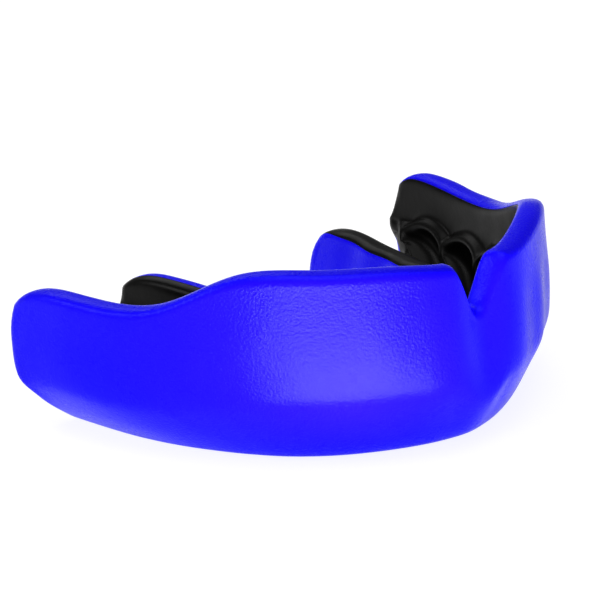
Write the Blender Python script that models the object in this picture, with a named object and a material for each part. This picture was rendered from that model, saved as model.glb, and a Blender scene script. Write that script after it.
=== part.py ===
"""A two-layer mouthguard for the upper teeth: a blue outer shell laminated to a black inner liner.

Frame: +Z up, the flat bite side on z = 0, the lip side towards -Y, the wearer's right towards -X, the
origin in the middle of the footprint. Shapes are worked out in millimetres and stored in metres.
Both layers are lofts along one arch: a section across the arch is a smooth curve, and it changes from
station to station, because the walls are tall at the lip and low at the cheek.
"""
import math

import bmesh
import bpy
import numpy as np

MM = 0.001

# The arch: the plan of the tooth row's middle line, its +X half, from the midline to the rear end.
# The other half mirrors it.
ARCH_X = (0.0, 8.1, 17.6, 21.2, 23.7, 26.7)
ARCH_Y = (-23.2, -21.0, -13.0, -6.0, 1.6, 21.7)
ARCH_SAMPLES = 1201

# Half widths of the guard on either side of that line, at the front and at the rear.
LIP_HALF_WIDTH = 6.0
CHEEK_HALF_WIDTH = 9.6
TONGUE_HALF_WIDTH_FRONT = 8.2
TONGUE_HALF_WIDTH_REAR = 11.4

# The shares of the half arch between which the section changes from its front to its rear form.
FRONT_SHARE = 0.12
REAR_SHARE = 0.85

# Wall heights against the share of the half arch, 0 at the midline and 1 at the rear end. A guard is
# trimmed by hand to its wearer's mouth, so the wearer's right side (-X) and left side (+X) differ a little.
OUTER_WALL_SHARES = (0.0, 0.16, 0.32, 0.46, 0.62, 0.80, 1.0)
OUTER_WALL_RIGHT = (23.4, 24.4, 24.8, 24.3, 20.0, 18.9, 19.2)
OUTER_WALL_LEFT = (23.4, 24.0, 24.7, 22.2, 19.0, 18.3, 19.5)
TONGUE_WALL_SHARES = (0.0, 0.33, 0.66, 1.0)
TONGUE_WALL_RIGHT = (12.2, 14.2, 16.1, 16.8)
TONGUE_WALL_LEFT = (12.2, 14.2, 13.9, 15.0)

# The notch for the lip's frenum, cut into the rim at the midline, and the furrow below it.
NOTCH_DEPTH = 6.4
NOTCH_HALF_WIDTH = 3.7
NOTCH_FLAT_HALF_WIDTH = 0.2
FURROW_DEPTH = 1.2
FURROW_HALF_WIDTH = 3.0
FURROW_FULL_SHARE = 0.8

# The outer wall's section: outward of the half width, against the share of the wall's height.
OUTER_FACE_SHARES = (1.0, 0.80, 0.62, 0.45, 0.30, 0.14, 0.0)
OUTER_FACE_FRONT = (-0.6, -0.2, 0.1, 0.0, -0.6, -2.6, -4.0)
OUTER_FACE_REAR = (-0.2, -0.2, 0.1, 0.0, -1.2, -3.0, -5.4)

# The flat bite side's points, inward of the cheek's half width and then inward of the tongue's, and
# the round foot and the lean of the tongue face, also inward of the tongue's half width.
SOLE_INSIDE_CHEEK = (5.4, 6.8)
SOLE_INSIDE_TONGUE = (5.2, 3.6, 1.8)
TONGUE_FOOT_INSET = 0.4
TONGUE_FOOT_HEIGHT = 1.8
TONGUE_BELLY_HEIGHT = 4.8
TONGUE_MIDDLE_INSET = 0.4
TONGUE_TOP_INSET = 0.8

# Rim, rear end and floor.
RIM_THICKNESS = 3.6
FLOOR_TOP = 4.6
END_SLANT = 7.2
END_SLANT_TOP_RIGHT = 13.0
END_SLANT_TOP_LEFT = 9.0
END_CORNER_BACK = 2.0
TONGUE_END_BACK = 2.2
END_CORNER_POWER = 6
END_CORNER_DROP = 2.6
END_DROP_POWER = 26
TONGUE_DROP_SHARE = 0.8

# Teeth, from the midline backwards: width along the arch and depth across it.
TOOTH_WIDTHS = (8.6, 6.6, 7.7, 7.0, 6.8, 10.2, 9.6)
TOOTH_DEPTHS = (7.0, 6.4, 8.2, 9.0, 9.2, 10.8, 10.6)
GUM_LINE_FRONT = 15.2
GUM_LINE_REAR = 12.2
GUM_ARCH = 1.3
LEDGE = 1.2
EMBRASURE = 1.3
FLOOR_HOLLOW = 0.5

# Behind the last tooth the prints end in a raised pad, which is whole this far from the rear end.
DISTAL_PAD = 4.0
PAD_WHOLE = 1.0
PAD_RISE = 1.5
PAD_LEDGE_LOSS = 0.7

# The two layers: how far through the wall they meet, and where their seam lies on the rolled rim,
# as an angle from the outer face (0) over the crest (90) to the channel side (180).
LAYER_SHARE = 0.55
OUTER_SEAM_ANGLE = 150.0
TONGUE_SEAM_RIGHT = 96.0
TONGUE_SEAM_LEFT = 48.0
END_SEAM_ANGLE = 112.0
SEAM_GAP = 0.3
SEAM_EASING = 3

# Fineness of the lofts.
STATIONS_PER_TOOTH = 4
PROFILE_POINTS = 19
RIM_STEPS = 5


# ---------------------------------------------------------------- curves

def smooth_step(start, end, value):
    """0 before start, 1 after end, an S curve between."""
    share = np.clip((value - start) / (end - start), 0.0, 1.0)
    return share * share * (3.0 - 2.0 * share)


def natural_spline(knots, values, at):
    """The natural cubic spline through (knots, values), read at the points `at`."""
    knots = np.asarray(knots, float)
    values = np.asarray(values, float)
    steps = np.diff(knots)
    count = len(knots)
    system = np.eye(count)
    bends = np.zeros(count)
    for i in range(1, count - 1):
        system[i, i - 1:i + 2] = steps[i - 1], 2.0 * (steps[i - 1] + steps[i]), steps[i]
        slope_after = (values[i + 1] - values[i]) / steps[i]
        slope_before = (values[i] - values[i - 1]) / steps[i - 1]
        bends[i] = 6.0 * (slope_after - slope_before)
    bends = np.linalg.solve(system, bends)
    cell = np.clip(np.searchsorted(knots, at) - 1, 0, count - 2)
    width = steps[cell]
    left = (knots[cell + 1] - at) / width
    right = (at - knots[cell]) / width
    line = left * values[cell] + right * values[cell + 1]
    curve = (left ** 3 - left) * bends[cell] + (right ** 3 - right) * bends[cell + 1]
    return line + curve * width * width / 6.0


def two_sided_spline(shares, right, left, at):
    """The same spline across the midline: values on the wearer's right (-) and left (+)."""
    both_shares = np.concatenate((-np.array(shares)[:0:-1], shares))
    both_values = np.concatenate((np.array(right)[:0:-1], left))
    return natural_spline(both_shares, both_values, at)


def b_spline(controls, count):
    """Clamped cubic B-splines: controls (k, stations) give curves (stations, count)."""
    degree = 3
    k = len(controls)
    knots = np.concatenate((np.zeros(degree), np.linspace(0.0, 1.0, k - degree + 1), np.ones(degree)))
    at = np.linspace(0.0, 1.0 - 1e-9, count)
    basis = ((at[:, None] >= knots[:-1]) & (at[:, None] < knots[1:])).astype(float)
    for d in range(1, degree + 1):
        higher = np.zeros((count, len(knots) - 1 - d))
        for i in range(higher.shape[1]):
            rise = knots[i + d] - knots[i]
            fall = knots[i + d + 1] - knots[i + 1]
            if rise > 0.0:
                higher[:, i] += (at - knots[i]) / rise * basis[:, i]
            if fall > 0.0:
                higher[:, i] += (knots[i + d + 1] - at) / fall * basis[:, i + 1]
        basis = higher
    return (basis @ np.asarray(controls)).T


# ---------------------------------------------------------------- the arch

class Arch:
    """The middle line of the tooth row, read by distance from the midline."""

    def __init__(self):
        knots_x = np.concatenate((-np.array(ARCH_X)[:0:-1], ARCH_X))
        knots_y = np.concatenate((np.array(ARCH_Y)[:0:-1], ARCH_Y))
        chord = np.concatenate(([0.0], np.cumsum(np.hypot(np.diff(knots_x), np.diff(knots_y)))))
        fine = np.linspace(0.0, chord[-1], ARCH_SAMPLES)
        self.x = natural_spline(chord, knots_x, fine)
        self.y = natural_spline(chord, knots_y, fine)
        run = np.concatenate(([0.0], np.cumsum(np.hypot(np.diff(self.x), np.diff(self.y)))))
        self.half = run[-1] / 2.0
        self.distance = run - self.half
        self.step_x = np.gradient(self.x, self.distance)
        self.step_y = np.gradient(self.y, self.distance)

    def place(self, distance, outward, height):
        """A point `outward` of the line at `distance` along it, `height` up."""
        x = np.interp(distance, self.distance, self.x)
        y = np.interp(distance, self.distance, self.y)
        step_x = np.interp(distance, self.distance, self.step_x)
        step_y = np.interp(distance, self.distance, self.step_y)
        return np.stack((x + outward * step_y, y - outward * step_x, height + 0.0 * x), axis=-1)


ARCH = Arch()
TOOTH_BORDERS = np.concatenate(([0.0], np.cumsum(TOOTH_WIDTHS)))
TOOTH_BORDERS = TOOTH_BORDERS * (ARCH.half - DISTAL_PAD) / TOOTH_BORDERS[-1]
TOOTH_MIDDLES = (TOOTH_BORDERS[:-1] + TOOTH_BORDERS[1:]) / 2.0


def station_distances():
    """Stations at the tooth borders and between them, on both sides, out to the rear ends."""
    borders = np.append(TOOTH_BORDERS, ARCH.half)
    left = []
    for start, end in zip(borders[:-1], borders[1:]):
        left.extend(np.linspace(start, end, STATIONS_PER_TOOTH, endpoint=False))
    left.append(ARCH.half)
    left = np.array(left)
    return np.concatenate((-left[:0:-1], left))


def front_to_rear(front, rear, share):
    return front + (rear - front) * smooth_step(FRONT_SHARE, REAR_SHARE, np.abs(share))


def wall_heights(distance):
    """Rim heights of the outer wall and of the tongue wall."""
    share = distance / ARCH.half
    outer = two_sided_spline(OUTER_WALL_SHARES, OUTER_WALL_RIGHT, OUTER_WALL_LEFT, share)
    notch = 1.0 - smooth_step(NOTCH_FLAT_HALF_WIDTH, NOTCH_HALF_WIDTH, np.abs(distance))
    outer = outer - NOTCH_DEPTH * notch
    tongue = two_sided_spline(TONGUE_WALL_SHARES, TONGUE_WALL_RIGHT, TONGUE_WALL_LEFT, share)
    drop = END_CORNER_DROP * np.abs(share) ** END_DROP_POWER
    return outer - drop, tongue - TONGUE_DROP_SHARE * drop


# ---------------------------------------------------------------- sections across the arch

def outer_sections(distance, count):
    """The guard's outside, from the outer rim down, across the bite side and up to the tongue rim."""
    share = distance / ARCH.half
    cheek = front_to_rear(LIP_HALF_WIDTH, CHEEK_HALF_WIDTH, share)
    tongue = front_to_rear(TONGUE_HALF_WIDTH_FRONT, TONGUE_HALF_WIDTH_REAR, share)
    outer_height, tongue_height = wall_heights(distance)
    top = outer_height - RIM_THICKNESS / 2.0
    tongue_top = tongue_height - RIM_THICKNESS / 2.0
    furrow = FURROW_DEPTH * np.exp(-(distance / FURROW_HALF_WIDTH) ** 2)
    level = 0.0 * share
    controls = []
    for height_share, front, rear in zip(OUTER_FACE_SHARES, OUTER_FACE_FRONT, OUTER_FACE_REAR):
        in_furrow = furrow * smooth_step(0.0, FURROW_FULL_SHARE, height_share)
        controls.append((cheek + front_to_rear(front, rear, share) - in_furrow, height_share * top))
    controls += [(cheek - inset, level) for inset in SOLE_INSIDE_CHEEK]
    controls += [(inset - tongue, level) for inset in SOLE_INSIDE_TONGUE]
    controls += [
        (TONGUE_FOOT_INSET - tongue, level + TONGUE_FOOT_HEIGHT),
        (-tongue, level + TONGUE_BELLY_HEIGHT),
        (TONGUE_MIDDLE_INSET - tongue, 0.5 * (TONGUE_BELLY_HEIGHT + tongue_top)),
        (TONGUE_TOP_INSET - tongue, tongue_top),
    ]
    return b_spline([c[0] for c in controls], count), b_spline([c[1] for c in controls], count)


def tooth_shape(distance):
    """For each station: how far across its tooth it lies (-1 to 1), and that tooth's depth."""
    away = np.abs(distance)
    tooth = np.clip(np.searchsorted(TOOTH_BORDERS, away, side="right") - 1, 0, len(TOOTH_WIDTHS) - 1)
    half_width = (TOOTH_BORDERS[tooth + 1] - TOOTH_BORDERS[tooth]) / 2.0
    across = np.clip((away - TOOTH_MIDDLES[tooth]) / half_width, -1.0, 1.0)
    return across, np.interp(away, TOOTH_MIDDLES, TOOTH_DEPTHS)


def inner_sections(distance, count):
    """The channel, from the outer rim down the gum wall, through the tooth prints, up to the tongue rim."""
    share = distance / ARCH.half
    cheek = front_to_rear(LIP_HALF_WIDTH, CHEEK_HALF_WIDTH, share)
    tongue = front_to_rear(TONGUE_HALF_WIDTH_FRONT, TONGUE_HALF_WIDTH_REAR, share)
    outer_height, tongue_height = wall_heights(distance)
    top = outer_height - RIM_THICKNESS / 2.0
    tongue_top = tongue_height - RIM_THICKNESS / 2.0
    furrow = FURROW_DEPTH * np.exp(-(distance / FURROW_HALF_WIDTH) ** 2)
    lean = front_to_rear(OUTER_FACE_FRONT[0], OUTER_FACE_REAR[0], share)
    gum = cheek - RIM_THICKNESS
    across, depth = tooth_shape(distance)
    pad = smooth_step(ARCH.half - DISTAL_PAD, ARCH.half - PAD_WHOLE, np.abs(distance))
    ridge = EMBRASURE * across ** 4 * (1.0 - pad)
    gum_line = front_to_rear(GUM_LINE_FRONT, GUM_LINE_REAR, share) - GUM_ARCH * across ** 2
    gum_line = np.minimum(gum_line, top - 2.0)
    outer_face = gum - LEDGE * (1.0 - PAD_LEDGE_LOSS * pad) - ridge
    tongue_gum = RIM_THICKNESS - tongue
    tongue_face = np.maximum(outer_face - depth + ridge, tongue_gum + 0.5) + 0.7 * ridge
    floor = FLOOR_TOP + PAD_RISE * pad - FLOOR_HOLLOW * (1.0 - across ** 2)
    tongue_line = np.minimum(floor + 4.6, tongue_top - 1.5)
    middle = (outer_face + tongue_face) / 2.0
    # One point of the section on each line, as how far out it is and how high.
    controls = (
        # The gum wall, down to the ledge at the necks of the teeth.
        (cheek + lean - furrow - RIM_THICKNESS, top),
        (gum + 0.35 * lean - 0.9 * furrow, 0.5 * (top + gum_line) + 0.8),
        (gum - 0.15 - 0.6 * furrow, gum_line + 1.0),
        (outer_face + 0.45, gum_line + 0.1),
        # The outer faces of the teeth.
        (outer_face - 0.1, gum_line - 1.4),
        (outer_face, floor + 3.4),
        (outer_face - 0.5, floor + 1.3),
        # The floor that the teeth bite on.
        (outer_face - 1.7, floor + 0.1),
        (middle + 0.6, floor + 0.35),
        (middle - 0.6, floor + 0.35),
        (tongue_face + 1.5, floor + 0.1),
        # The inner faces of the teeth, and the tongue wall above them.
        (tongue_face + 0.4, floor + 1.3),
        (tongue_face + 0.1, 0.5 * (floor + 1.3 + tongue_line)),
        (tongue_gum + 0.3, tongue_line + 0.4),
        (tongue_gum + TONGUE_TOP_INSET, tongue_top),
    )
    return b_spline([c[0] for c in controls], count), b_spline([c[1] for c in controls], count)


# ---------------------------------------------------------------- sheets, rim and layers

def end_setback(distance, heights, count):
    """How far each point near a rear end is drawn back, for the slanted, round-cornered end."""
    across = np.linspace(-1.0, 1.0, count)
    slant_top = np.where(distance < 0.0, END_SLANT_TOP_RIGHT, END_SLANT_TOP_LEFT)[:, None]
    slant = END_SLANT * (1.0 - smooth_step(0.0, slant_top, heights))
    corner = np.where(across < 0.0, END_CORNER_BACK, END_CORNER_BACK + TONGUE_END_BACK)
    back = slant + (corner * across ** END_CORNER_POWER)[None, :]
    return distance[:, None] * (1.0 - back / ARCH.half)


def sheets(distance):
    """The outer and the channel surface as grids of points (stations, profile points, 3)."""
    outer_out, outer_up = outer_sections(distance, PROFILE_POINTS)
    inner_out, inner_up = inner_sections(distance, PROFILE_POINTS)
    along = end_setback(distance, 0.5 * (outer_up + inner_up), PROFILE_POINTS)
    return ARCH.place(along, outer_out, outer_up), ARCH.place(along, inner_out, inner_up)


def border(grid):
    """The closed border of a grid, once round, with the ring one step inside it."""
    rows, columns = grid.shape[:2]
    loop = []
    inside = []
    for row in range(rows - 1):
        loop.append((row, 0))
        inside.append((min(max(row, 1), rows - 2), 1))
    for column in range(columns - 1):
        loop.append((rows - 1, column))
        inside.append((rows - 2, min(max(column, 1), columns - 2)))
    for row in range(rows - 1, 0, -1):
        loop.append((row, columns - 1))
        inside.append((min(max(row, 1), rows - 2), columns - 2))
    for column in range(columns - 1, 0, -1):
        loop.append((0, column))
        inside.append((1, min(max(column, 1), columns - 2)))
    return loop, inside


def seam_angles(rows, columns):
    """The seam's angle on the rim at each border point, eased at the four corners."""
    angles = np.concatenate((
        np.full(rows - 1, OUTER_SEAM_ANGLE),
        np.full(columns - 1, END_SEAM_ANGLE),
        np.linspace(TONGUE_SEAM_LEFT, TONGUE_SEAM_RIGHT, rows - 1),
        np.full(columns - 1, END_SEAM_ANGLE),
    ))
    for _ in range(SEAM_EASING):
        angles = (np.roll(angles, 1) + 2.0 * angles + np.roll(angles, -1)) / 4.0
    return np.radians(angles)


def rim_point(outer, inner, beyond, angle):
    """A point on the half-round rim that joins the outer face to the channel face."""
    middle = (outer + inner) / 2.0
    toward_outer = (outer - inner) / 2.0
    radius = np.linalg.norm(toward_outer, axis=-1, keepdims=True)
    across = toward_outer / radius
    reach = np.minimum(radius, RIM_THICKNESS / 2.0)
    beyond = beyond - np.sum(beyond * across, axis=-1, keepdims=True) * across
    beyond = beyond / np.linalg.norm(beyond, axis=-1, keepdims=True)
    angle = angle[:, None]
    return middle + toward_outer * np.cos(angle) + beyond * reach * np.sin(angle)


def grid_faces(rows, columns):
    faces = []
    for row in range(rows - 1):
        for column in range(columns - 1):
            corner = row * columns + column
            faces.append((corner, corner + 1, corner + columns + 1, corner + columns))
    return faces


def layer_mesh(name, face_grid, seam_grid, rim_rings):
    """A closed body: its face, the part of the rim it owns, and its side of the seam."""
    rows, columns = face_grid.shape[:2]
    loop, _ = border(face_grid)
    border_index = [row * columns + column for row, column in loop]
    size = rows * columns
    points = np.concatenate([face_grid.reshape(-1, 3), seam_grid.reshape(-1, 3)] + rim_rings)
    quads = grid_faces(rows, columns)
    faces = list(quads)
    faces += [tuple(size + corner for corner in reversed(quad)) for quad in quads]
    rings = [border_index]
    for number in range(len(rim_rings)):
        start = 2 * size + number * len(loop)
        rings.append(list(range(start, start + len(loop))))
    rings.append([size + corner for corner in border_index])
    for lower, upper in zip(rings[:-1], rings[1:]):
        for i in range(len(loop)):
            j = (i + 1) % len(loop)
            faces.append((lower[i], upper[i], upper[j], lower[j]))
    mesh = bpy.data.meshes.new(name)
    mesh.from_pydata([tuple(point) for point in points * MM], [], faces)
    mesh.validate()
    return mesh


def build_layers():
    """The two layers' meshes, centred on their footprint."""
    outer, inner = sheets(station_distances())
    rows, columns = outer.shape[:2]
    loop, inside = border(outer)
    at = tuple(np.array(loop).T)
    one_in = tuple(np.array(inside).T)
    middle = (outer + inner) / 2.0
    beyond = middle[at] - middle[one_in]
    angle = seam_angles(rows, columns)
    radius = np.linalg.norm(outer[at] - inner[at], axis=-1) / 2.0
    half_gap = SEAM_GAP / 2.0 / radius

    thickness = np.linalg.norm(inner - outer, axis=-1, keepdims=True)
    half_share = SEAM_GAP / 2.0 / thickness
    shell_seam = outer + (inner - outer) * (LAYER_SHARE - half_share)
    liner_seam = outer + (inner - outer) * (LAYER_SHARE + half_share)
    shell_seam[at] = rim_point(outer[at], inner[at], beyond, angle - half_gap)
    liner_seam[at] = rim_point(outer[at], inner[at], beyond, angle + half_gap)

    shell_rings = []
    liner_rings = []
    for step in range(1, RIM_STEPS):
        share = step / RIM_STEPS
        shell_rings.append(rim_point(outer[at], inner[at], beyond, (angle - half_gap) * share))
        far_angle = math.pi + (angle + half_gap - math.pi) * share
        liner_rings.append(rim_point(outer[at], inner[at], beyond, far_angle))

    everything = np.concatenate([outer.reshape(-1, 3)] + shell_rings)
    centre_y = (everything[:, 1].min() + everything[:, 1].max()) / 2.0
    shift = np.array((0.0, -centre_y, 0.0))
    shell_rings = [ring + shift for ring in shell_rings]
    liner_rings = [ring + shift for ring in liner_rings]
    shell = layer_mesh("outer_shell", outer + shift, shell_seam + shift, shell_rings)
    liner = layer_mesh("inner_liner", inner + shift, liner_seam + shift, liner_rings)
    return shell, liner


# ---------------------------------------------------------------- objects

def material(name, colour, roughness):
    new = bpy.data.materials.new(name)
    new.use_nodes = True
    shader = new.node_tree.nodes["Principled BSDF"]
    shader.inputs["Base Color"].default_value = (*colour, 1.0)
    shader.inputs["Roughness"].default_value = roughness
    shader.inputs["Metallic"].default_value = 0.0
    return new


def turn_faces_outward(mesh):
    shape = bmesh.new()
    shape.from_mesh(mesh)
    bmesh.ops.recalc_face_normals(shape, faces=shape.faces)
    shape.to_mesh(mesh)
    shape.free()


def add_layer(collection, mesh, look):
    turn_faces_outward(mesh)
    mesh.materials.append(look)
    mesh.shade_smooth()
    layer = bpy.data.objects.new(mesh.name, mesh)
    collection.objects.link(layer)
    return layer


def main():
    for old in list(bpy.data.objects):
        bpy.data.objects.remove(old, do_unlink=True)
    collection = bpy.data.collections.new("mouthguard")
    bpy.context.scene.collection.children.link(collection)
    shell, liner = build_layers()
    add_layer(collection, shell, material("blue_eva", (0.014, 0.006, 1.0), 0.38))
    add_layer(collection, liner, material("black_eva", (0.012, 0.012, 0.011), 0.45))


main()
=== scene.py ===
"""Looks of the two-layer mouthguard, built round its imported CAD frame.

Both layers are lofted again here, with the CAD model's method and mostly its dimensions, but finely: the
outer shell with the soft relief of the teeth under it, and the inner liner with the print of every tooth.
Lengths are in millimetres until a mesh is made, and in the frame's own metres after that.
"""
import math

import bpy
import numpy as np
from mathutils import Matrix, Vector


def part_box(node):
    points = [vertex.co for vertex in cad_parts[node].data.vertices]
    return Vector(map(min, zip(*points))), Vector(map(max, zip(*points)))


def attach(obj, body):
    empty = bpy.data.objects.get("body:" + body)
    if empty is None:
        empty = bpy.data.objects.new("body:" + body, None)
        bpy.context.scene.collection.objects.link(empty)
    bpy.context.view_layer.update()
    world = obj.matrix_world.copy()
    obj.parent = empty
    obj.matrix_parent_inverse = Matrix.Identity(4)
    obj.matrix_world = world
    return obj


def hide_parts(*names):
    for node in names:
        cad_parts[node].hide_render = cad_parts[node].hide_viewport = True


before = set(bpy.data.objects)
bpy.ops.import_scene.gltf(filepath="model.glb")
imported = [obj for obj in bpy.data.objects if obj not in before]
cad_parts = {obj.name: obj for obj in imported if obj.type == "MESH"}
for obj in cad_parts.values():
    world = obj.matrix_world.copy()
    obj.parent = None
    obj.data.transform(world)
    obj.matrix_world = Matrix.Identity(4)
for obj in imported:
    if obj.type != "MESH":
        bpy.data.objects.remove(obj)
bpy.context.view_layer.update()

MM = 0.001

# ---------------------------------------------------------------- dimensions that repeat the CAD model's

# The arch: the plan of the tooth row's middle line, its +X half, from the midline to the rear end.
ARCH_X = (0.0, 8.1, 17.6, 21.2, 23.7, 26.7)
ARCH_Y = (-23.2, -21.0, -13.0, -6.0, 1.6, 21.7)
ARCH_SAMPLES = 1201

# Half widths of the guard on either side of that line, at the front and at the rear.
LIP_HALF_WIDTH = 6.0
CHEEK_HALF_WIDTH = 9.6
TONGUE_HALF_WIDTH_FRONT = 8.2
TONGUE_HALF_WIDTH_REAR = 11.4

# The shares of the half arch between which the section changes from its front to its rear form.
FRONT_SHARE = 0.12
REAR_SHARE = 0.85

# Wall heights against the share of the half arch, on the wearer's right (-X) and left (+X).
OUTER_WALL_SHARES = (0.0, 0.16, 0.32, 0.46, 0.62, 0.80, 1.0)
OUTER_WALL_RIGHT = (23.4, 24.4, 24.8, 24.3, 20.0, 18.9, 19.2)
OUTER_WALL_LEFT = (23.4, 24.0, 24.7, 22.2, 19.0, 18.3, 19.5)
TONGUE_WALL_SHARES = (0.0, 0.33, 0.66, 1.0)
TONGUE_WALL_RIGHT = (12.2, 14.2, 16.1, 16.8)
TONGUE_WALL_LEFT = (12.2, 14.2, 13.9, 15.0)

# The notch for the lip's frenum, cut into the rim at the midline, and the furrow below it.
NOTCH_DEPTH = 6.4
NOTCH_HALF_WIDTH = 3.7
NOTCH_FLAT_HALF_WIDTH = 0.2
FURROW_DEPTH = 1.2
FURROW_HALF_WIDTH = 3.0
FURROW_FULL_SHARE = 0.8

# The flat bite side's points, inward of the cheek's half width and then inward of the tongue's, and
# the round foot and the lean of the tongue face, also inward of the tongue's half width.
SOLE_INSIDE_CHEEK = (5.4, 6.8)
SOLE_INSIDE_TONGUE = (5.2, 3.6, 1.8)
TONGUE_FOOT_INSET = 0.4
TONGUE_FOOT_HEIGHT = 1.8
TONGUE_BELLY_HEIGHT = 4.8
TONGUE_MIDDLE_INSET = 0.4
TONGUE_TOP_INSET = 0.8

# Rim, floor and rear end.
RIM_THICKNESS = 3.6
FLOOR_TOP = 4.6
END_SLANT = 7.2
END_SLANT_TOP_RIGHT = 13.0
END_SLANT_TOP_LEFT = 9.0
END_CORNER_BACK = 2.0
TONGUE_END_BACK = 2.2
END_CORNER_POWER = 6
END_CORNER_DROP = 2.6
END_DROP_POWER = 26
TONGUE_DROP_SHARE = 0.8

# Teeth, from the midline backwards: width along the arch and depth across it.
TOOTH_WIDTHS = (8.6, 6.6, 7.7, 7.0, 6.8, 10.2, 9.6)
TOOTH_DEPTHS = (7.0, 6.4, 8.2, 9.0, 9.2, 10.8, 10.6)
GUM_LINE_FRONT = 15.2
GUM_LINE_REAR = 12.2

# Behind the last tooth the prints end in a raised pad: where it starts and where it is whole, from the
# rear end, how high it rises, and the share of the ledge that it takes away.
DISTAL_PAD = 4.0
PAD_WHOLE = 1.0
PAD_RISE = 1.5
PAD_LEDGE_LOSS = 0.7

# How far through the wall the layers meet, and their seam's angle on the rolled rim, from the outer
# face (0) over the crest (90) to the channel side (180).
LAYER_SHARE = 0.55
OUTER_SEAM_ANGLE = 150.0
TONGUE_SEAM_RIGHT = 96.0
END_SEAM_ANGLE = 112.0


# ---------------------------------------------------------------- dimensions of the looks alone

# The outer wall's section, with a sharper fold above the bite side than in CAD: outward of the half
# width, against the share of the wall's height.
OUTER_FACE_SHARES = (1.0, 0.80, 0.62, 0.49, 0.41, 0.35, 0.27, 0.14, 0.0)
OUTER_FACE_FRONT = (-0.6, -0.2, 0.1, 0.1, 0.05, -0.3, -1.1, -2.5, -4.0)
OUTER_FACE_REAR = (-0.2, -0.2, 0.1, 0.1, 0.0, -0.3, -1.2, -2.9, -5.4)

# The tooth prints are crisper than in CAD.
GUM_ARCH = 1.7
LEDGE = 1.5
EMBRASURE = 1.5
UNDERCUT = 1.0

# Cusps that press into the floor, per tooth from the midline: how many along the arch and across it.
# Spacings and sizes are shares of the tooth's width and depth, and the pits fade out above the floor.
CUSPS = ((1, 1), (1, 1), (1, 1), (1, 2), (1, 2), (2, 2), (2, 2))
PIT_DEPTH = 1.1
PIT_SPACING_ALONG = 0.46
PIT_SPACING_ACROSS = 0.48
PIT_SIZE_ALONG = 0.30
PIT_SIZE_ACROSS = 0.24
PIT_SIZE_LEAST = 0.25
PIT_FADE = (0.8, 3.0)

# The teeth under the outer wall: their relief on each side, and the heights where it comes and goes.
TOOTH_RELIEF_RIGHT = 0.03
TOOTH_RELIEF_LEFT = 0.16
RELIEF_RISE = (5.0, 10.0)
RELIEF_FALL = (15.0, 21.0)
RELIEF_CHANGE = (-4.0, 8.0)

# The seam: a hairline, lower on the left tongue wall than in CAD, and lifted beside the notch. The
# tongue wall's seam changes from right to left within this distance of the midline.
TONGUE_SEAM_LEFT = 30.0
TONGUE_SEAM_CHANGE = 9.0
SEAM_GAP = 0.04
SEAM_ROUNDING = 0.05
SEAM_EASING = 60
FRONT_SEAM_LIFT = 12.0
FRONT_SEAM_MIDDLE = 7.0
FRONT_SEAM_HALF_WIDTH = 5.0

# The rounded edge of each layer along the seam: how far back on the rim, and how deep, in roundings.
EDGE_BACK = 0.35
EDGE_DEPTH = 0.3
SEAM_DEPTH = 2.5

# The rim's section is between a half circle (2) and a flat top with round edges (4 and more). It
# points away from the ring that lies some steps inside the sheets' border, eased round the corners.
RIM_SQUARENESS = 2.6
RIM_REACH = 1.66
RIM_EASING = 30
RIM_STEPS_IN = 4

# Fineness of the lofts.
STATION_PITCH = 0.42
PROFILE_POINTS = 132
RIM_STEPS = 22


# ---------------------------------------------------------------- curves

def smooth_step(start, end, value):
    """0 before start, 1 after end, an S curve between."""
    share = np.clip((value - start) / (end - start), 0.0, 1.0)
    return share * share * (3.0 - 2.0 * share)


def natural_spline(knots, values, at):
    """The natural cubic spline through (knots, values), read at the points `at`."""
    knots = np.asarray(knots, float)
    values = np.asarray(values, float)
    steps = np.diff(knots)
    count = len(knots)
    system = np.eye(count)
    bends = np.zeros(count)
    for i in range(1, count - 1):
        system[i, i - 1:i + 2] = steps[i - 1], 2.0 * (steps[i - 1] + steps[i]), steps[i]
        slope_after = (values[i + 1] - values[i]) / steps[i]
        slope_before = (values[i] - values[i - 1]) / steps[i - 1]
        bends[i] = 6.0 * (slope_after - slope_before)
    bends = np.linalg.solve(system, bends)
    cell = np.clip(np.searchsorted(knots, at) - 1, 0, count - 2)
    width = steps[cell]
    left = (knots[cell + 1] - at) / width
    right = (at - knots[cell]) / width
    line = left * values[cell] + right * values[cell + 1]
    curve = (left ** 3 - left) * bends[cell] + (right ** 3 - right) * bends[cell + 1]
    return line + curve * width * width / 6.0


def two_sided_spline(shares, right, left, at):
    """The same spline across the midline: values on the wearer's right (-) and left (+)."""
    both_shares = np.concatenate((-np.array(shares)[:0:-1], shares))
    both_values = np.concatenate((np.array(right)[:0:-1], left))
    return natural_spline(both_shares, both_values, at)


def b_spline(controls, count):
    """Clamped cubic B-splines: controls (k, stations) give curves (stations, count)."""
    degree = 3
    k = len(controls)
    knots = np.concatenate((np.zeros(degree), np.linspace(0.0, 1.0, k - degree + 1), np.ones(degree)))
    at = np.linspace(0.0, 1.0 - 1e-9, count)
    basis = ((at[:, None] >= knots[:-1]) & (at[:, None] < knots[1:])).astype(float)
    for d in range(1, degree + 1):
        higher = np.zeros((count, len(knots) - 1 - d))
        for i in range(higher.shape[1]):
            rise = knots[i + d] - knots[i]
            fall = knots[i + d + 1] - knots[i + 1]
            if rise > 0.0:
                higher[:, i] += (at - knots[i]) / rise * basis[:, i]
            if fall > 0.0:
                higher[:, i] += (knots[i + d + 1] - at) / fall * basis[:, i + 1]
        basis = higher
    return (basis @ np.asarray(controls)).T


# ---------------------------------------------------------------- the arch

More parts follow.
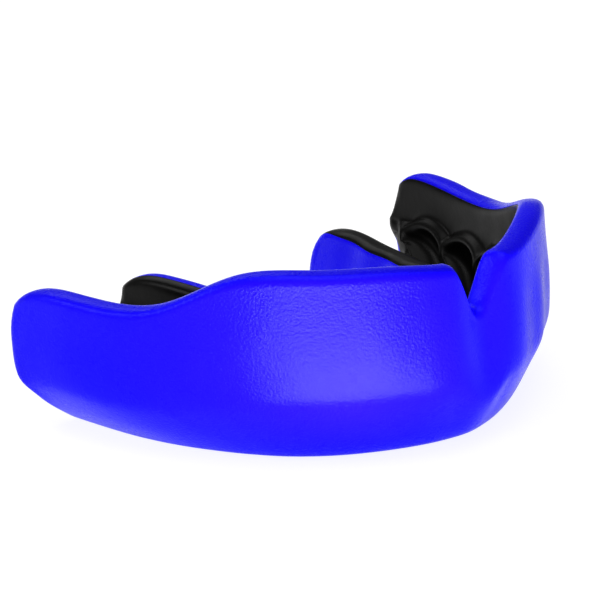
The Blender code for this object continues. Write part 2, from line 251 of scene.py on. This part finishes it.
class Arch:
    """The middle line of the tooth row, read by distance from the midline."""

    def __init__(self):
        knots_x = np.concatenate((-np.array(ARCH_X)[:0:-1], ARCH_X))
        knots_y = np.concatenate((np.array(ARCH_Y)[:0:-1], ARCH_Y))
        chord = np.concatenate(([0.0], np.cumsum(np.hypot(np.diff(knots_x), np.diff(knots_y)))))
        fine = np.linspace(0.0, chord[-1], ARCH_SAMPLES)
        self.x = natural_spline(chord, knots_x, fine)
        self.y = natural_spline(chord, knots_y, fine)
        run = np.concatenate(([0.0], np.cumsum(np.hypot(np.diff(self.x), np.diff(self.y)))))
        self.half = run[-1] / 2.0
        self.distance = run - self.half
        self.step_x = np.gradient(self.x, self.distance)
        self.step_y = np.gradient(self.y, self.distance)

    def place(self, distance, outward, height):
        """A point `outward` of the line at `distance` along it, `height` up."""
        x = np.interp(distance, self.distance, self.x)
        y = np.interp(distance, self.distance, self.y)
        step_x = np.interp(distance, self.distance, self.step_x)
        step_y = np.interp(distance, self.distance, self.step_y)
        return np.stack((x + outward * step_y, y - outward * step_x, height + 0.0 * x), axis=-1)


ARCH = Arch()
TOOTH_BORDERS = np.concatenate(([0.0], np.cumsum(TOOTH_WIDTHS)))
TOOTH_BORDERS = TOOTH_BORDERS * (ARCH.half - DISTAL_PAD) / TOOTH_BORDERS[-1]
TOOTH_MIDDLES = (TOOTH_BORDERS[:-1] + TOOTH_BORDERS[1:]) / 2.0


def front_to_rear(front, rear, share):
    """A value that changes from its front to its rear size along the arch."""
    return front + (rear - front) * smooth_step(FRONT_SHARE, REAR_SHARE, np.abs(share))


def wall_heights(distance):
    """Rim heights of the outer wall and of the tongue wall."""
    share = distance / ARCH.half
    outer = two_sided_spline(OUTER_WALL_SHARES, OUTER_WALL_RIGHT, OUTER_WALL_LEFT, share)
    notch = 1.0 - smooth_step(NOTCH_FLAT_HALF_WIDTH, NOTCH_HALF_WIDTH, np.abs(distance))
    outer = outer - NOTCH_DEPTH * notch
    tongue = two_sided_spline(TONGUE_WALL_SHARES, TONGUE_WALL_RIGHT, TONGUE_WALL_LEFT, share)
    drop = END_CORNER_DROP * np.abs(share) ** END_DROP_POWER
    return outer - drop, tongue - TONGUE_DROP_SHARE * drop


# ---------------------------------------------------------------- sections across the arch

def section_limits(distance):
    """At each station: the share of the arch, the half widths, the rims' undersides and the furrow."""
    share = distance / ARCH.half
    cheek = front_to_rear(LIP_HALF_WIDTH, CHEEK_HALF_WIDTH, share)
    tongue = front_to_rear(TONGUE_HALF_WIDTH_FRONT, TONGUE_HALF_WIDTH_REAR, share)
    outer_height, tongue_height = wall_heights(distance)
    top = outer_height - RIM_THICKNESS / 2.0
    tongue_top = tongue_height - RIM_THICKNESS / 2.0
    furrow = FURROW_DEPTH * np.exp(-(distance / FURROW_HALF_WIDTH) ** 2)
    return share, cheek, tongue, top, tongue_top, furrow


def tooth_position(distance):
    """How far across its tooth each station lies (-1 to 1)."""
    away = np.abs(distance)
    tooth = np.clip(np.searchsorted(TOOTH_BORDERS, away, side="right") - 1, 0, len(TOOTH_WIDTHS) - 1)
    half_width = (TOOTH_BORDERS[tooth + 1] - TOOTH_BORDERS[tooth]) / 2.0
    return np.clip((away - TOOTH_MIDDLES[tooth]) / half_width, -1.0, 1.0)


def outer_sections(distance, count):
    """The guard's outside, from the outer rim down, across the bite side and up to the tongue rim."""
    share, cheek, tongue, top, tongue_top, furrow = section_limits(distance)
    level = 0.0 * share
    controls = []
    for height_share, front, rear in zip(OUTER_FACE_SHARES, OUTER_FACE_FRONT, OUTER_FACE_REAR):
        in_furrow = furrow * smooth_step(0.0, FURROW_FULL_SHARE, height_share)
        controls.append((cheek + front_to_rear(front, rear, share) - in_furrow, height_share * top))
    controls += [(cheek - inset, level) for inset in SOLE_INSIDE_CHEEK]
    controls += [(inset - tongue, level) for inset in SOLE_INSIDE_TONGUE]
    controls += [
        (TONGUE_FOOT_INSET - tongue, level + TONGUE_FOOT_HEIGHT),
        (-tongue, level + TONGUE_BELLY_HEIGHT),
        (TONGUE_MIDDLE_INSET - tongue, 0.5 * (TONGUE_BELLY_HEIGHT + tongue_top)),
        (TONGUE_TOP_INSET - tongue, tongue_top),
    ]
    outward = b_spline([c[0] for c in controls], count)
    up = b_spline([c[1] for c in controls], count)
    return outward + tooth_relief(distance, up), up


def tooth_relief(distance, up):
    """The teeth and their roots showing softly through the outer wall."""
    across = tooth_position(distance)
    bulge = np.cos(across * math.pi)[:, None]
    band = smooth_step(*RELIEF_RISE, up) * (1.0 - smooth_step(*RELIEF_FALL, up))
    side = smooth_step(*RELIEF_CHANGE, distance)
    relief = TOOTH_RELIEF_RIGHT + (TOOTH_RELIEF_LEFT - TOOTH_RELIEF_RIGHT) * side
    return relief[:, None] * bulge * band


def inner_sections(distance, count):
    """The channel, from the outer rim down the gum wall, through the tooth prints, up to the tongue rim."""
    share, cheek, tongue, top, tongue_top, furrow = section_limits(distance)
    lean = front_to_rear(OUTER_FACE_FRONT[0], OUTER_FACE_REAR[0], share)
    gum = cheek - RIM_THICKNESS
    across = tooth_position(distance)
    depth = np.interp(np.abs(distance), TOOTH_MIDDLES, TOOTH_DEPTHS)
    pad = smooth_step(ARCH.half - DISTAL_PAD, ARCH.half - PAD_WHOLE, np.abs(distance))
    rounded = 1.0 - np.sqrt(1.0 - 0.96 * across ** 2)
    ridge = EMBRASURE * rounded * (1.0 - pad)
    gum_line = front_to_rear(GUM_LINE_FRONT, GUM_LINE_REAR, share) - GUM_ARCH * across ** 2
    gum_line = np.minimum(gum_line, top - 2.0)
    lip_face = gum - LEDGE * (1.0 - PAD_LEDGE_LOSS * pad) - 0.5 * ridge
    outer_face = lip_face + UNDERCUT * (1.0 - across ** 2) * (1.0 - pad) - 0.7 * ridge
    tongue_gum = RIM_THICKNESS - tongue
    tongue_face = np.maximum(lip_face - depth, tongue_gum + 0.4) + 0.8 * ridge
    floor = FLOOR_TOP + PAD_RISE * pad + 0.9 * ridge
    tongue_line = np.minimum(floor + 4.6, tongue_top - 1.5)
    middle = (outer_face + tongue_face) / 2.0
    # One point of the section on each line, as how far out it is and how high.
    controls = (
        # The gum wall, down to the ledge at the necks of the teeth.
        (cheek + lean - furrow - RIM_THICKNESS, top),
        (gum + 0.35 * lean - 0.9 * furrow, 0.5 * (top + gum_line) + 0.8),
        (gum - 0.10 - 0.6 * furrow, gum_line + 1.3),
        (gum - 0.35 - 0.5 * furrow, gum_line + 0.5),
        (lip_face + 0.25, gum_line + 0.15),
        (lip_face - 0.15, gum_line - 0.7),
        # The outer faces of the teeth.
        (outer_face, gum_line - 1.8),
        (outer_face + 0.1, floor + 3.6),
        (outer_face - 0.4, floor + 1.4),
        # The floor that the teeth bite on.
        (outer_face - 1.5, floor + 0.1),
        (middle + 0.8, floor + 0.3),
        (middle - 0.8, floor + 0.3),
        (tongue_face + 1.4, floor + 0.1),
        # The inner faces of the teeth, and the tongue wall above them.
        (tongue_face + 0.35, floor + 1.3),
        (tongue_face + 0.05, 0.5 * (floor + 1.3 + tongue_line)),
        (tongue_face + 0.3, tongue_line - 0.2),
        (tongue_gum + 0.3, tongue_line + 0.6),
        (tongue_gum + TONGUE_TOP_INSET, tongue_top),
    )
    outward = b_spline([c[0] for c in controls], count)
    up = b_spline([c[1] for c in controls], count)
    return outward, up - cusp_pits(distance, outward, up, outer_face, tongue_face)


def cusp_pits(distance, outward, up, outer_face, tongue_face):
    """How deep the cusps press into the floor at each point."""
    low = 1.0 - smooth_step(FLOOR_TOP + PIT_FADE[0], FLOOR_TOP + PIT_FADE[1], up)
    away = np.abs(distance)[:, None]
    middle = ((outer_face + tongue_face) / 2.0)[:, None]
    width = (outer_face - tongue_face)[:, None]
    depth = np.zeros_like(outward)
    for number, (along_count, across_count) in enumerate(CUSPS):
        tooth_width = TOOTH_BORDERS[number + 1] - TOOTH_BORDERS[number]
        for along, across in np.ndindex(along_count, across_count):
            along_shift = tooth_width * (along - (along_count - 1) / 2.0) * PIT_SPACING_ALONG
            across_shift = width * (across - (across_count - 1) / 2.0) * PIT_SPACING_ACROSS
            from_along = away - (TOOTH_MIDDLES[number] + along_shift)
            from_across = outward - (middle + across_shift)
            along_size = PIT_SIZE_ALONG * tooth_width / along_count
            across_size = PIT_SIZE_ACROSS * width / across_count + PIT_SIZE_LEAST
            spread = (from_along / along_size) ** 2 + (from_across / across_size) ** 2
            depth += PIT_DEPTH * np.exp(-0.5 * spread)
    return depth * low


# ---------------------------------------------------------------- sheets, rim and layers

def end_setback(distance, heights, count):
    """Each point's distance along the arch, drawn in so that the rear ends slant and have round corners."""
    across = np.linspace(-1.0, 1.0, count)
    slant_top = np.where(distance < 0.0, END_SLANT_TOP_RIGHT, END_SLANT_TOP_LEFT)[:, None]
    slant = END_SLANT * (1.0 - smooth_step(0.0, slant_top, heights))
    corner = np.where(across < 0.0, END_CORNER_BACK, END_CORNER_BACK + TONGUE_END_BACK)
    back = slant + (corner * across ** END_CORNER_POWER)[None, :]
    return distance[:, None] * (1.0 - back / ARCH.half)


def sheets(distance):
    """The outer and the channel surface as grids of points (stations, profile points, 3)."""
    outer_out, outer_up = outer_sections(distance, PROFILE_POINTS)
    inner_out, inner_up = inner_sections(distance, PROFILE_POINTS)
    along = end_setback(distance, 0.5 * (outer_up + inner_up), PROFILE_POINTS)
    return ARCH.place(along, outer_out, outer_up), ARCH.place(along, inner_out, inner_up)


def border(rows, columns, steps_in):
    """The closed border of a grid, once round, with the ring some steps inside it."""
    loop = [(row, 0) for row in range(rows - 1)]
    loop += [(rows - 1, column) for column in range(columns - 1)]
    loop += [(row, columns - 1) for row in range(rows - 1, 0, -1)]
    loop += [(0, column) for column in range(columns - 1, 0, -1)]
    loop = np.array(loop)
    last = np.array((rows - 1, columns - 1))
    inside = np.clip(loop, steps_in, last - steps_in)
    return loop, inside


def ease_round(values, passes):
    """Smooths values along a closed ring."""
    for _ in range(passes):
        values = (np.roll(values, 1, axis=0) + 2.0 * values + np.roll(values, -1, axis=0)) / 4.0
    return values


def seam_angles(distance, columns):
    """The seam's angle on the rim at each border point, eased at the corners."""
    side = smooth_step(-TONGUE_SEAM_CHANGE, TONGUE_SEAM_CHANGE, distance)
    tongue = TONGUE_SEAM_RIGHT + (TONGUE_SEAM_LEFT - TONGUE_SEAM_RIGHT) * side
    front = np.exp(-((distance - FRONT_SEAM_MIDDLE) / FRONT_SEAM_HALF_WIDTH) ** 2)
    outer = OUTER_SEAM_ANGLE + FRONT_SEAM_LIFT * front
    angles = np.concatenate((
        outer[:-1],
        np.full(columns - 1, END_SEAM_ANGLE),
        tongue[:0:-1],
        np.full(columns - 1, END_SEAM_ANGLE),
    ))
    return np.radians(ease_round(angles, SEAM_EASING))


class Rim:
    """The rolled rim that joins the outer face to the channel face all the way round."""

    def __init__(self, outer, inner, loop, inside):
        at = tuple(loop.T)
        one_in = tuple(inside.T)
        middle = (outer + inner) / 2.0
        self.outer = outer[at]
        self.inner = inner[at]
        beyond = middle[at] - middle[one_in]
        beyond = beyond / np.linalg.norm(beyond, axis=1, keepdims=True)
        beyond = ease_round(beyond, RIM_EASING)
        self.toward_outer = (self.outer - self.inner) / 2.0
        self.radius = np.linalg.norm(self.toward_outer, axis=1, keepdims=True)
        across = self.toward_outer / self.radius
        beyond = beyond - np.sum(beyond * across, axis=1, keepdims=True) * across
        self.beyond = beyond / np.linalg.norm(beyond, axis=1, keepdims=True)
        self.reach = np.minimum(self.radius, RIM_REACH)

    def ring(self, angle, sink=0.0):
        """The ring at an angle over the rim, sunk a little below its surface."""
        angle = angle[:, None]
        middle = (self.outer + self.inner) / 2.0
        shrink = 1.0 - sink / self.radius
        power = 2.0 / RIM_SQUARENESS
        sideways = np.sign(np.cos(angle)) * np.abs(np.cos(angle)) ** power
        upward = np.abs(np.sin(angle)) ** power
        return middle + shrink * (self.toward_outer * sideways + self.beyond * self.reach * upward)


def layer_mesh(name, face_grid, seam_grid, rings, loop):
    """A closed body: its face, the part of the rim it owns, and its side of the seam."""
    rows, columns = face_grid.shape[:2]
    index = np.arange(rows * columns).reshape(rows, columns)
    quads = np.stack((index[:-1, :-1], index[:-1, 1:], index[1:, 1:], index[1:, :-1]), axis=-1)
    quads = quads.reshape(-1, 4)
    size = rows * columns
    ring_size = len(loop)
    border_index = index[tuple(loop.T)]
    chain = [border_index]
    for number in range(len(rings)):
        chain.append(2 * size + number * ring_size + np.arange(ring_size))
    chain.append(size + border_index)
    faces = [quads, size + quads[:, ::-1]]
    for lower, upper in zip(chain[:-1], chain[1:]):
        faces.append(np.stack((lower, np.roll(lower, -1), np.roll(upper, -1), upper), axis=-1))
    faces = np.concatenate(faces)
    points = np.concatenate([face_grid.reshape(-1, 3), seam_grid.reshape(-1, 3)] + rings)
    corners = points[faces[:, :3]]
    normals = np.cross(corners[:, 1] - corners[:, 0], corners[:, 2] - corners[:, 0])
    inside_out = np.sum(normals * corners[:, 0]) < 0.0
    if inside_out:
        faces = faces[:, ::-1]
    mesh = bpy.data.meshes.new(name)
    mesh.from_pydata((points * MM).tolist(), [], faces.tolist())
    mesh.validate()
    mesh.shade_smooth()
    return mesh


def build_layers():
    """The two layers' fine meshes, centred on the CAD model's footprint from front to rear."""
    half_count = round(ARCH.half / STATION_PITCH)
    distance = np.linspace(-ARCH.half, ARCH.half, 2 * half_count + 1)
    outer, inner = sheets(distance)
    rows, columns = outer.shape[:2]
    loop, inside = border(rows, columns, RIM_STEPS_IN)
    at = tuple(loop.T)
    rim = Rim(outer, inner, loop, inside)
    angle = seam_angles(distance, columns)
    half_gap = SEAM_GAP / 2.0 / rim.radius[:, 0]
    rounding = SEAM_ROUNDING / rim.radius[:, 0]

    thickness = np.linalg.norm(inner - outer, axis=-1, keepdims=True)
    half_share = SEAM_GAP / 2.0 / thickness
    shell_seam = outer + (inner - outer) * (LAYER_SHARE - half_share)
    liner_seam = outer + (inner - outer) * (LAYER_SHARE + half_share)
    shell_seam[at] = rim.ring(angle - half_gap, SEAM_DEPTH * SEAM_ROUNDING)
    liner_seam[at] = rim.ring(angle + half_gap, SEAM_DEPTH * SEAM_ROUNDING)

    shell_rings = []
    liner_rings = []
    for step in range(1, RIM_STEPS + 1):
        share = step / RIM_STEPS
        shell_rings.append(rim.ring((angle - half_gap - rounding) * share))
        liner_rings.append(rim.ring(math.pi + (angle + half_gap + rounding - math.pi) * share))
    edge_back = half_gap + EDGE_BACK * rounding
    shell_rings.append(rim.ring(angle - edge_back, EDGE_DEPTH * SEAM_ROUNDING))
    liner_rings.append(rim.ring(angle + edge_back, EDGE_DEPTH * SEAM_ROUNDING))
    shell_rings.append(rim.ring(angle - half_gap, SEAM_ROUNDING))
    liner_rings.append(rim.ring(angle + half_gap, SEAM_ROUNDING))

    low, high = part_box("outer_shell")
    outside = np.concatenate([outer.reshape(-1, 3)] + shell_rings)
    centre_y = (outside[:, 1].min() + outside[:, 1].max()) / 2.0
    shift = np.array((0.0, (low[1] + high[1]) / 2.0 / MM - centre_y, low[2] / MM))
    shell_rings = [ring + shift for ring in shell_rings]
    liner_rings = [ring + shift for ring in liner_rings]
    shell = layer_mesh("shell_body", outer + shift, shell_seam + shift, shell_rings, loop)
    liner = layer_mesh("liner_body", inner + shift, liner_seam + shift, liner_rings, loop)
    return shell, liner


# ---------------------------------------------------------------- materials

# Noise keeps mostly between these two values, which are spread over the range that is wanted.
NOISE_RANGE = (0.3, 0.7)

# Both layers are EVA. The gloss levels are low and set for this light, not measured on EVA.
EVA_IOR = 1.49
BLUE_GLOSS = 0.055
BLACK_GLOSS = 0.08
BLUE_COLOURS = ((0.0050, 0.0007, 0.90), (0.0068, 0.0013, 0.97))
BLACK_COLOURS = ((0.0011, 0.0010, 0.0009), (0.0019, 0.0018, 0.0016))
PAPER_COLOURS = ((0.26, 0.26, 0.26), (0.30, 0.30, 0.30))
PAPER_GLOW = 0.88


def material(name):
    new = bpy.data.materials.new(name)
    new.use_nodes = True
    tree = new.node_tree
    return new, tree, tree.nodes["Principled BSDF"]


def noise(tree, coordinates, scale, detail=2.0, roughness=0.5):
    node = tree.nodes.new("ShaderNodeTexNoise")
    node.inputs["Scale"].default_value = scale
    node.inputs["Detail"].default_value = detail
    node.inputs["Roughness"].default_value = roughness
    tree.links.new(coordinates, node.inputs["Vector"])
    return node.outputs["Fac"]


def remap(tree, value, low, high, to_low, to_high):
    node = tree.nodes.new("ShaderNodeMapRange")
    node.inputs["From Min"].default_value = low
    node.inputs["From Max"].default_value = high
    node.inputs["To Min"].default_value = to_low
    node.inputs["To Max"].default_value = to_high
    tree.links.new(value, node.inputs["Value"])
    return node.outputs["Result"]


def blend_colours(tree, share, first, second):
    node = tree.nodes.new("ShaderNodeMix")
    node.data_type = "RGBA"
    node.inputs["A"].default_value = (*first, 1.0)
    node.inputs["B"].default_value = (*second, 1.0)
    tree.links.new(share, node.inputs["Factor"])
    return node.outputs["Result"]


def bump(tree, height, strength, distance, normal=None):
    node = tree.nodes.new("ShaderNodeBump")
    node.inputs["Strength"].default_value = strength
    node.inputs["Distance"].default_value = distance
    tree.links.new(height, node.inputs["Height"])
    if normal is not None:
        tree.links.new(normal, node.inputs["Normal"])
    return node.outputs["Normal"]


def object_coordinates(tree):
    return tree.nodes.new("ShaderNodeTexCoord").outputs["Object"]


def eva(name, colours, cloud_scale, patch_scale, roughness):
    """What both layers share: a faintly clouded colour and patches of more and less gloss."""
    new, tree, shader = material(name)
    at = object_coordinates(tree)
    cloud = remap(tree, noise(tree, at, cloud_scale, detail=3.0), *NOISE_RANGE, 0.0, 1.0)
    tree.links.new(blend_colours(tree, cloud, *colours), shader.inputs["Base Color"])
    patches = noise(tree, at, patch_scale, detail=4.0, roughness=0.6)
    tree.links.new(remap(tree, patches, *NOISE_RANGE, *roughness), shader.inputs["Roughness"])
    shader.inputs["IOR"].default_value = EVA_IOR
    return new, tree, shader, at


def blue_eva():
    """Dense blue EVA: satin, with a fine orange peel left by the pressure forming."""
    new, tree, shader, at = eva(
        "blue_eva", BLUE_COLOURS, cloud_scale=90.0, patch_scale=260.0, roughness=(0.25, 0.31))
    grain = noise(tree, at, scale=3300.0, detail=1.0)
    peel = bump(tree, grain, strength=0.8, distance=0.00007)
    swell = noise(tree, at, scale=700.0, detail=1.0)
    waves = bump(tree, swell, strength=0.10, distance=0.00012, normal=peel)
    tree.links.new(waves, shader.inputs["Normal"])
    shader.inputs["Specular IOR Level"].default_value = BLUE_GLOSS
    return new


def black_eva():
    """Black EVA of the liner: softer and duller, with a faint mottle from the plaster cast."""
    new, tree, shader, at = eva(
        "black_eva", BLACK_COLOURS, cloud_scale=140.0, patch_scale=300.0, roughness=(0.30, 0.38))
    mottle = noise(tree, at, scale=900.0, detail=3.0, roughness=0.6)
    cast = bump(tree, mottle, strength=0.18, distance=0.00012)
    tree.links.new(cast, shader.inputs["Normal"])
    shader.inputs["Specular IOR Level"].default_value = BLACK_GLOSS
    return new


def floor_paper():
    """Matte studio paper that gives off light of its own, so that it reads white round the guard."""
    new, tree, shader = material("floor_paper")
    grain = noise(tree, object_coordinates(tree), scale=30.0, detail=4.0)
    tree.links.new(blend_colours(tree, grain, *PAPER_COLOURS), shader.inputs["Base Color"])
    shader.inputs["Roughness"].default_value = 0.9
    shader.inputs["Specular IOR Level"].default_value = 0.0
    shader.inputs["Emission Color"].default_value = (1.0, 1.0, 1.0, 1.0)
    shader.inputs["Emission Strength"].default_value = PAPER_GLOW
    return new


# ---------------------------------------------------------------- the pieces

def add_piece(mesh, look, node):
    """Puts a layer's mesh in the scene in place of its CAD node."""
    mesh.materials.append(look)
    piece = bpy.data.objects.new(mesh.name, mesh)
    bpy.context.scene.collection.objects.link(piece)
    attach(piece, "root")
    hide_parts(node)


shell_mesh, liner_mesh = build_layers()
add_piece(shell_mesh, blue_eva(), "outer_shell")
add_piece(liner_mesh, black_eva(), "inner_liner")


# ---------------------------------------------------------------- stage, light and camera

FLOOR_SIZE = 4.0
FLOOR_DROP = 0.0002
WORLD_STRENGTH = 0.22

# Name, width, height, power in watts, place and target of each softbox.
SOFTBOXES = (
    ("top_softbox", 0.6, 0.6, 2.8, (-0.1, -0.1, 0.8), (0.0, 0.0, 0.0)),
    ("back_softbox", 0.5, 0.4, 1.3, (0.146, 0.546, 0.566), (0.0, 0.0, 0.01)),
    ("side_softbox", 0.25, 0.25, 1.3, (-0.58, 0.38, 0.38), (0.0, 0.0, 0.01)),
)

# Bright cards lying in front of the lip wall: name, width, depth, middle and turn. Together they widen
# away from the guard, and their mirror image is the broad highlight on the lip wall. The camera doesn't
# see them directly.
CARDS = (
    ("near", 0.038, 0.024, (-0.028, -0.038), -35.0),
    ("middle", 0.061, 0.028, (-0.045, -0.053), -38.0),
    ("far", 0.090, 0.075, (-0.082, -0.090), -40.0),
)
CARD_RADIANCE = 18.0
CARD_HEIGHT = 0.0005

# The camera: angles in degrees, distance and aim in metres, lens and sensor in millimetres.
CAMERA_AZIMUTH = -41.31
CAMERA_ELEVATION = 19.60
CAMERA_ROLL = -2.23
CAMERA_DISTANCE = 0.28304
CAMERA_AIM = (-0.00285, 0.00533, 0.01194)
CAMERA_LENS = 130.3
CAMERA_SENSOR = 36.0
CAMERA_CLIP = 0.01


def add_floor():
    bpy.ops.mesh.primitive_plane_add(size=FLOOR_SIZE, location=(0.0, 0.0, -FLOOR_DROP))
    floor = bpy.context.object
    floor.name = "studio_floor"
    floor.data.materials.append(floor_paper())


def area_light(name, width, height, power, location, target):
    data = bpy.data.lights.new(name, "AREA")
    data.shape = "RECTANGLE"
    data.size = width
    data.size_y = height
    data.energy = power
    light = bpy.data.objects.new(name, data)
    light.location = location
    light.rotation_euler = (Vector(target) - Vector(location)).to_track_quat("-Z", "Y").to_euler()
    bpy.context.scene.collection.objects.link(light)
    return light


def set_world(strength):
    world = bpy.data.worlds.new("studio")
    world.use_nodes = True
    background = world.node_tree.nodes["Background"]
    background.inputs["Color"].default_value = (1.0, 1.0, 1.0, 1.0)
    background.inputs["Strength"].default_value = strength
    bpy.context.scene.world = world


def add_cards():
    """The reflector cards, face up, just above the floor."""
    for place, width, depth, (x, y), turn in CARDS:
        power = CARD_RADIANCE * math.pi * width * depth
        card = area_light("reflector_card_" + place, width, depth, power, (x, y, CARD_HEIGHT), (x, y, 1.0))
        card.rotation_euler = (math.pi, 0.0, math.radians(turn))
        card.visible_camera = False


def add_camera():
    azimuth = math.radians(CAMERA_AZIMUTH)
    elevation = math.radians(CAMERA_ELEVATION)
    roll = math.radians(CAMERA_ROLL)
    back = Vector((
        math.sin(azimuth) * math.cos(elevation),
        -math.cos(azimuth) * math.cos(elevation),
        math.sin(elevation),
    ))
    right = Vector((math.cos(azimuth), math.sin(azimuth), 0.0))
    up = back.cross(right)
    rolled_right = right * math.cos(roll) + up * math.sin(roll)
    rolled_up = up * math.cos(roll) - right * math.sin(roll)
    turn = Matrix((rolled_right, rolled_up, back)).transposed().to_4x4()
    data = bpy.data.cameras.new("camera")
    data.sensor_width = CAMERA_SENSOR
    data.lens = CAMERA_LENS
    data.clip_start = CAMERA_CLIP
    camera = bpy.data.objects.new("camera", data)
    camera.matrix_world = Matrix.Translation(Vector(CAMERA_AIM) + back * CAMERA_DISTANCE) @ turn
    bpy.context.scene.collection.objects.link(camera)
    bpy.context.scene.camera = camera


add_floor()
set_world(WORLD_STRENGTH)
for softbox in SOFTBOXES:
    area_light(*softbox)
add_cards()
add_camera()
bpy.context.scene.view_settings.view_transform = "Standard"
